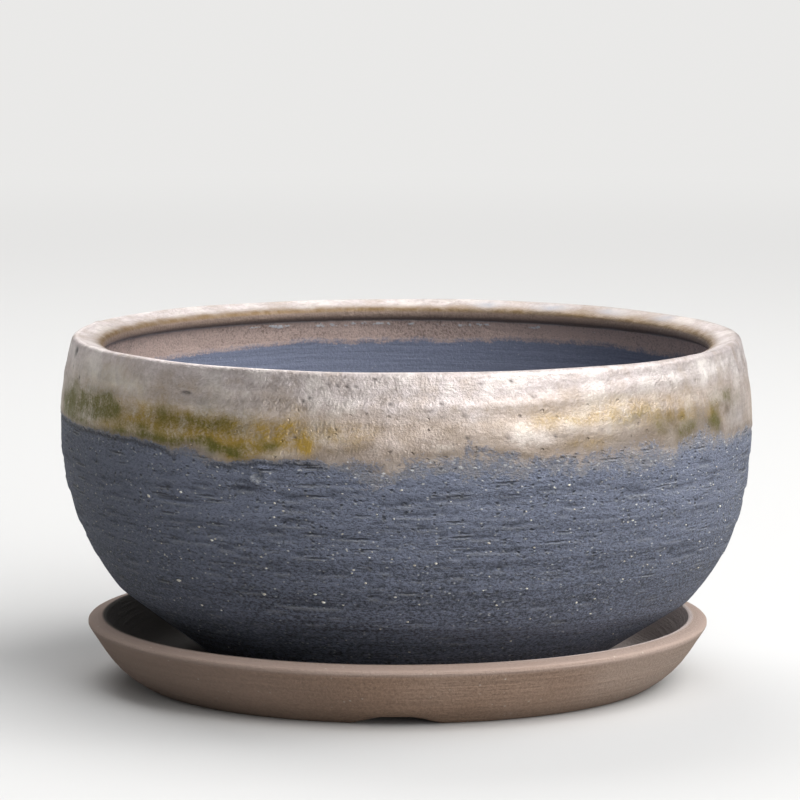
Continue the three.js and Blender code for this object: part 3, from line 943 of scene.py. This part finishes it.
def glaze_line(angle):
    """Height of the coat's lower edge at a facing."""
    runs = sum(drop * hump(angle, facing, half_width) for facing, half_width, drop in GLAZE_RUNS)
    return GLAZE_LEVEL + tilted(angle, GLAZE_TILT, GLAZE_HIGH_SIDE) - runs


glaze_start = GLAZE_LEVEL - LINE_MARGIN
inner_end = INNER_LEVEL - LINE_MARGIN
coat = wall_rings(glaze_start, lip_start, COAT_SPACING) + lip_rings(4)
coat += wall_rings(cove_height, inner_end, INNER_COAT_SPACING, WALL) + [on_wall(inner_end, WALL)]
back = wall_rings(inner_end, cove_height, spacing=4.0, depth=WALL) + lip_rings(2)[::-1]
back += wall_rings(lip_start, glaze_start, spacing=6.0) + [on_wall(glaze_start)]
glaze = throw("rim_glaze_coat", inset(coat, -GLAZE_FILM) + inset(back, -GLAZE_HIDDEN), GLAZE_FACETS)

glaze_points = points_of(glaze)
angle, radius, height = round_the_axis(glaze_points)
outside = (radius > wall_radius(height) - 2) & (height < lip_start)
inside = (radius < wall_radius(height, WALL) + 2) & (height < cove_height)
on_lip = ~outside & ~inside
skin = np.where(outside, radius > wall_radius(height), radius < wall_radius(height, WALL))
line = glaze_line(angle)
inner_line = INNER_LEVEL - tilted(angle, INNER_TILT, GLAZE_HIGH_SIDE) + waves(angle, INNER_WAVES)
level = height
for side, top, end, edge in (
    (outside, lip_start, glaze_start, line),
    (inside, cove_height, inner_end, inner_line),
):
    stretch = (top - edge + LINE_MARGIN) / (top - end)
    level = np.where(side, top - (top - height) * stretch, level)


def ripple(seed):
    """A smooth wavering over the coat, between about -1 and 1."""
    own_draw = np.random.default_rng(seed)
    total = np.zeros(len(level))
    for _ in range(7):
        turns, rows = own_draw.integers(6, 60), own_draw.uniform(-0.7, 0.7)
        total += np.sin(np.radians(turns * angle) + rows * level + own_draw.uniform(0, 6.3)) / 2.6
    return total


def dab(facing, dab_level, half_length, half_height, blunt=1):
    """1 at one place of the coat, fading out over its half length and height."""
    along = (along_wall(angle, facing) / half_length) ** blunt
    return bell(along, 1) * bell(level - dab_level, half_height)


def spots(places, spread):
    """1 at each place on the coat's outside, fading out within a spread."""
    return np.clip(sum(dab(*place, spread, spread) for place in places), 0, 1) * outside


def patches(places, seed):
    """The strength of soft, ragged patches on the coat's outside."""
    total = np.zeros(len(level))
    bent_angle, bent_level = angle + 1.1 * ripple(seed), level + 0.9 * ripple(seed + 50)
    for facing, half_width, patch_level, half_height, strength in places:
        across = hump(bent_angle, facing, half_width)
        total += strength * across * bell(bent_level - patch_level, half_height)
    return np.clip(total, 0, 1) * outside


def sunk(film, above):
    """The film, sunk into the clay below the coat's edge."""
    return film - (film + GLAZE_HIDDEN) * ease(above, 1.0 - LINE_MARGIN, -LINE_MARGIN)


above = np.where(outside, level - line, WELL_ABOVE)
veil = VEIL_LEAST + sum(wide * hump(angle, facing, half_width) for facing, half_width, wide in VEILS)
past_veil = above - veil
film = VEIL_FILM + (GLAZE_FILM - VEIL_FILM) * ease(past_veil, *VEIL_EDGE)
film = film + GLAZE_BEAD * bell(past_veil - VEIL_EDGE[1], GLAZE_BEAD_WIDTH)
film = sunk(film, above)
up = level - np.interp(angle, RIDGE_FACINGS, RIDGE_HEIGHTS)
rolls = sum(rise * bell(up - roll, half_height) for rise, roll, half_height in ROLLS)
rolls = rolls * (1 - 0.7 * ease(np.abs(turned_from(angle, -90)), 45, 72))
film = film + rolls * ease(above, 2, 8) * ease(level, lip_start, lip_start - 3)
bare_relief = np.zeros(len(level))
low_skin = np.flatnonzero(outside & skin & (above < 9))
bare_relief[low_skin] = wall_relief(angle[low_skin], level[low_skin])
film = film + bare_relief * (1 - 0.75 * ease(past_veil, -1, 3))

more_holes = [(draw.uniform(-20, 200), draw.uniform(112, 139)) for _ in range(MORE_PINHOLES)]
holes = spots(PINHOLES + tuple(more_holes), PINHOLE_SPREAD)
pitted = np.clip(holes + (dab(*SLIT, blunt=2) + dab(*CHIP)) * outside, 0, 1)
crumbs = list(CRUMBS)
for _ in range(MORE_CRUMBS):
    facing = draw.uniform(-10, 190)
    crumbs.append((facing, float(glaze_line(facing)) + draw.uniform(-3, 2), draw.uniform(0.8, 1.6)))
crumbed = sum(dab(facing, crumb_level, CRUMB_SHARE * half_length, CRUMB_HALF_HEIGHT)
              for facing, crumb_level, half_length in crumbs)
crumbed = np.clip(crumbed, 0, 1) * outside
film = film - PINHOLE_DEPTH * pitted + BLISTER_RISE * spots(BLISTERS, BLISTER_SPREAD) + CRUMB_RISE * crumbed

inner_above = level - inner_line
inner_film = sunk(GLAZE_FILM, inner_above) - (GLAZE_FILM - INNER_THIN_FILM) * ease(inner_above, 1.5, -0.5)
beads = np.zeros(len(level))
for bead in range(INNER_BEADS):
    facing = draw.uniform(62, 128) if bead < INNER_BEADS * 0.7 else draw.uniform(-180, 180)
    along = np.radians(turned_from(angle, facing)) * lip_inner / draw.uniform(0.6, 1.5)
    strength, below = draw.uniform(0.4, 1), draw.uniform(0.5, 1.6)
    beads += strength * bell(along, 1) * bell(level - cove_height + below, BEAD_HALF_HEIGHT)
beads = np.clip(beads, 0, 1) * inside
inner_film = inner_film + BEAD_RISE * beads
out_radius = side_radius(angle, level) + np.where(skin, film, -GLAZE_HIDDEN)
in_radius = wall_radius(level, WALL) - np.where(skin, inner_film, -GLAZE_HIDDEN)
new_radius = np.where(outside, out_radius, np.where(inside, in_radius, radius)) + waves(angle, OUT_OF_ROUND)
glaze_points[:, :2] *= (new_radius / radius)[:, None]
lip_bump = hump(angle, LIP_BUMP[0], 1) * bell(radius - LIP_BUMP[1], 2)
sag = (waves(angle, LIP_WAVES) - LIP_SAG) * ease(height, lip_start, lip_start + 1.5)
glaze_points[:, 2] = level + on_lip * (LIP_BUMP_RISE * lip_bump + sag)
put_points(glaze, glaze_points)

across_lip = (lip_radius - radius) / LIP_WIDTH + 0.03 * ripple(21)
# The lip turns bronze over its inner half, and darker all across towards its right back, which is partly
# painted shade.
right_back = hump(angle, *LIP_RIGHT_BACK)
lip_turn = 0.3 * right_back + (1 - 0.3 * right_back) * ease(across_lip, 0.52 - 0.3 * right_back, 1.0)
lip_grey = sum(hump(angle, *stripe) for stripe in LILAC_ON_LIP) * bell(across_lip - 0.5, 0.3) * on_lip
under_lip = on_lip * (radius < lip_inner + 4) * ease(height, *UNDER_LIP_HEIGHTS)
keep(
    glaze,
    above_line=np.where(inside, inner_above, above),
    veil=np.where(inside, 1.4, veil),
    bronze=np.where(on_lip, lip_turn, 0),
    pale=patches(PAINTED_HIGHLIGHT_PATCHES, 17),
    ridge=np.where(outside, up, 6.0),
    gold=patches(GOLD_PATCHES, 3),
    olive=patches(OLIVE_PATCHES, 5),
    grey=np.clip(patches(GREY_PATCHES, 9) + lip_grey, 0, 1),
    tan=patches(TAN_PATCHES, 13),
    crumb=np.clip(crumbed + beads, 0, 1),
    inside=np.where(inside, 1.0, under_lip),
    hollow=pitted,
)

SILVER = (0.64, 0.572, 0.562)
PALE_GOLD = (0.65, 0.55, 0.5)
GOLD = (0.4, 0.265, 0.06)
OLIVE = (0.135, 0.122, 0.026)
BLUE_GREY = (0.4, 0.395, 0.42)
TAN_EDGE = (0.2, 0.155, 0.115)
WARM_TAN = (0.36, 0.272, 0.185)
GREY_VEIL = (0.32, 0.31, 0.325)
PALE_CREAM = (0.9, 0.85, 0.79)
LIP_BRONZE = (0.2, 0.128, 0.06)
COVE_SHADE_BROWN = (0.13, 0.088, 0.062)
THIN_BROWN = (0.6, 0.455, 0.4)
DARK_BROWN = (0.13, 0.09, 0.067)
PINHOLE_DARK = (0.06, 0.05, 0.045)
CRUMB_WHITE = (0.66, 0.66, 0.68)
METAL_SHARE = 0.72
COVE_SHADE_SPAN = (30.0, 35.0)
rim_glaze, place, shader = new_finish("bronze_rim_glaze")
above_line, veil_mm, ridge = kept(place, "above_line", "veil", "ridge")
gold, olive, grey, tan, bronze, pale = kept(place, "gold", "olive", "grey", "tan", "bronze", "pale")
crumb, inner, hollow = kept(place, "crumb", "inside", "hollow")
clouds = place.noise(22.0, 4.0).ease(0.3, 0.7)
mottle = place.noise(190.0, 4.0, 0.65).ease(0.28, 0.72)
fine = place.noise(1000.0, 3.0, 0.7).ease(0.3, 0.7)
streaks = place.noise(200.0, 3.0, 0.6, stretch=(0.12, 0.12, 2.0)).ease(0.3, 0.7)
runs = place.noise(160.0, 3.0, 0.6, stretch=(1, 1, 0.2)).ease(0.3, 0.7)
torn = place.noise(75.0, 4.0, 0.6).ease(0.3, 0.7)
breakup = (mottle - 0.5) * (0.7 + veil_mm * 0.6) + (fine - 0.5) * (0.7 + veil_mm * 0.4)
breakup = (breakup + (torn - 0.5) * (0.6 + veil_mm * 0.5)) * (1 - inner * 0.5)
edge = above_line + breakup
cover = edge.ease(-0.6, 0.7)
thick = (edge / (veil_mm + 0.6)).ease(0.35, 1.3)
body = (edge / (veil_mm * 1.6 + 1.2)).ease(0.6, 1.6)
# Silver above the throwing ridge and pale gold below it: partly the coat's own colour, partly painted
# reflection, paler where the coat faces up.
low = (ridge + (clouds - 0.5) * 6 + (mottle - 0.5) * 5).ease(2.0, -8.0)
dull = (clouds * 0.3 + streaks * 0.4 + mottle * 0.5 + fine * 0.2).ease(0.85, 0.3)
flecks = place.noise(430.0, 3.0, 0.7).ease(0.36, 0.64)
tone = layered(
    (low * 0.9).between(SILVER, PALE_GOLD),
    (dull * 0.26 + flecks * 0.22 + (fine - 0.5) * 0.25, TAN_EDGE),
    # Pale cream in random blotches and over the painted highlights.
    (torn.ease(0.5, 0.95) * 0.3 + pale * (0.3 + mottle * 0.7), PALE_CREAM),
    ((1 - torn).ease(0.45, 0.95) * (0.1 + mottle * 0.35), WARM_TAN),
    (bronze * (0.85 + mottle * 0.25), LIP_BRONZE),
    (grey * (0.5 + mottle * 0.6), BLUE_GREY),
    (tan * (0.4 + mottle * 0.8), TAN_EDGE),
    (gold * (0.35 + mottle * 0.6 + runs * 0.4 + (fine - 0.5) * 0.5), GOLD),
    (olive * (0.45 + runs * 0.5 + mottle * 0.4 + (fine - 0.5) * 0.5), OLIVE),
)
brown = (mottle * 0.2 + fine * 0.5 + clouds * 0.2).ease(-0.25, 0.6).between(DARK_BROWN, THIN_BROWN)
# Painted shade: darker brown in the cove under the lip's inner roll.
brown = (above_line.ease(*COVE_SHADE_SPAN) * 0.8).between(brown, COVE_SHADE_BROWN)
tone = (body * 0.65 + 0.35).between(TAN_EDGE, tone)
tone = inner.between(tone, brown)
clay_tone, clay_rise = clay_look(place, 1.0, 0.3)
inner_tone, inner_rise = inner_look(place)
clay_tone = inner.between(clay_tone, inner_tone)
clay_rise = clay_rise * (1 - inner) + inner_rise * inner
stain = (mottle * 0.5 + fine * 0.6).between(clay_tone, inner.between(GREY_VEIL, THIN_BROWN))
# Painted glints: white flecks in the thin veil.
veil_glints = place.marks(650.0, 0.42, 0.36, (0.5, 0.5, 1.0), 0.0015) * (1 - inner)
stain = (veil_glints * 0.9).between(stain, CRUMB_WHITE)
tone = thick.between(stain, tone)
# Painted shadow: darker clay just under the thick coat's lower edge.
shadow_under_edge = edge.ease(-2.2, -0.4) * veil_mm.ease(3.0, 1.0) * (1 - inner)
tone = cover.between((shadow_under_edge * 0.75).between(clay_tone, CLAY_DARK), tone)
# White crumbs along the coat's edge and beads inside; the white on the crumbs is partly painted glints.
tone = (crumb * (0.4 + fine * 0.9)).ease(0.3, 0.65).between(tone, CRUMB_WHITE)
# The pinholes, the slit and the chip show dark: partly the clay under the coat, partly painted shade in the
# holes.
into(shader, "Base Color", hollow.between(tone, PINHOLE_DARK))
metal = thick * cover * (1 - inner * 0.7) * (1 - hollow) * (1 - pale * 0.8)
into(shader, "Metallic", metal * METAL_SHARE)
into(shader, "Roughness", 0.62 - thick * (0.2 - mottle * 0.16))
pocks = place.marks(430.0, 0.12, 0.3, (0.8, 0.8, 1.0), 0.0016) * low
coat_rise = fine * 0.14 + mottle * 0.16 + torn * 0.3 + streaks * 0.08 - pocks * 0.9
into(shader, "Normal", bump(thick * coat_rise + (1 - thick) * clay_rise, CLAY_BUMP))
glaze.data.materials.append(rim_glaze)
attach(glaze, "pot")
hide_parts("rim_glaze")


# The studio: a wide pale floor that stays pale far off, soft lamps from the right and the front, and the
# camera at the photograph's angle.
FLOOR_PALE = (0.64, 0.636, 0.628)
FLOOR_BOUNCE = (0.25, 0.248, 0.242)
FLOOR_FAR = (0.82, 0.815, 0.805)
FLOOR_SIZE = 60.0
FLOOR_FADE = (0.4, 2.6)
LAMPS_FACE = Vector((0, 0, 0.08))
SKY_COLOUR = (0.95, 0.97, 1.0)
SKY_STRENGTH = 0.085
bpy.ops.mesh.primitive_plane_add(size=FLOOR_SIZE, location=(0, 0, 0))
studio_floor = bpy.context.object
studio_floor.name = "studio_floor"
floor_paint, place, shader = new_finish("pale_floor")
shader.inputs["Roughness"].default_value = 0.9
rays = place.node("ShaderNodeLightPath", out="Is Camera Ray")
seen = rays + Wire(rays.socket.node.outputs["Is Glossy Ray"])
seen = seen + Wire(rays.socket.node.outputs["Is Transmission Ray"])
seen = seen.math("MINIMUM", seen, 1.0)
into(shader, "Base Color", seen.between(FLOOR_BOUNCE, FLOOR_PALE))
far = place.length().ease(*FLOOR_FADE)
glow = place.node("ShaderNodeEmission", {}, {"Color": colour(FLOOR_FAR), "Strength": 1.0})
both = place.node("ShaderNodeMixShader", {}, {"Fac": seen * far})
floor_links = floor_paint.node_tree.links
floor_links.new(shader.outputs["BSDF"], both.socket.node.inputs[1])
floor_links.new(glow.socket, both.socket.node.inputs[2])
floor_links.new(both.socket, floor_paint.node_tree.nodes["Material Output"].inputs["Surface"])
studio_floor.data.materials.append(floor_paint)


def soft_lamp(name, to_the_right, above_floor, distance, size, power):
    """A square lamp that faces the pot, placed by two angles in degrees."""
    right, up = math.radians(to_the_right), math.radians(above_floor)
    way = Vector((math.sin(right) * math.cos(up), -math.cos(right) * math.cos(up), math.sin(up)))
    bpy.ops.object.light_add(type="AREA", location=way * distance + LAMPS_FACE)
    lamp = bpy.context.object
    lamp.name = name
    lamp.data.size = size
    lamp.data.energy = power
    lamp.rotation_euler = (-way).to_track_quat("-Z", "Y").to_euler()


soft_lamp("key_lamp", 55, 52, 2.7, 2.9, 88.0)
soft_lamp("front_lamp", 28, 18, 2.8, 2.6, 50.0)
soft_lamp("right_back_lamp", 108, 46, 2.6, 1.6, 24.0)
soft_lamp("left_back_lamp", -119, 14, 2.6, 1.0, 5.2)
soft_lamp("back_top_lamp", -162, 47, 2.3, 1.6, 30.0)

world = bpy.data.worlds.new("soft_studio")
bpy.context.scene.world = world
world.use_nodes = True
sky = world.node_tree.nodes["Background"]
sky.inputs["Color"].default_value = colour(SKY_COLOUR)
sky.inputs["Strength"].default_value = SKY_STRENGTH

CAMERA_PLACE = (0.0, -1.950, 0.360)
CAMERA_LENS = 217.99
CAMERA_SENSOR = 36.0
CAMERA_DOWN = 0.1259
CAMERA_PAN = 0.0013
CAMERA_ROLL = 0.0024
bpy.ops.object.camera_add(location=CAMERA_PLACE)
camera = bpy.context.object
camera.data.sensor_width = CAMERA_SENSOR
camera.data.lens = CAMERA_LENS
turn = Matrix.Rotation(CAMERA_PAN, 4, "Z") @ Matrix.Rotation(math.pi / 2 - CAMERA_DOWN, 4, "X")
turn = turn @ Matrix.Rotation(CAMERA_ROLL, 4, "Z")
camera.rotation_euler = turn.to_euler()
bpy.context.scene.camera = camera
bpy.context.scene.view_settings.view_transform = "Standard"
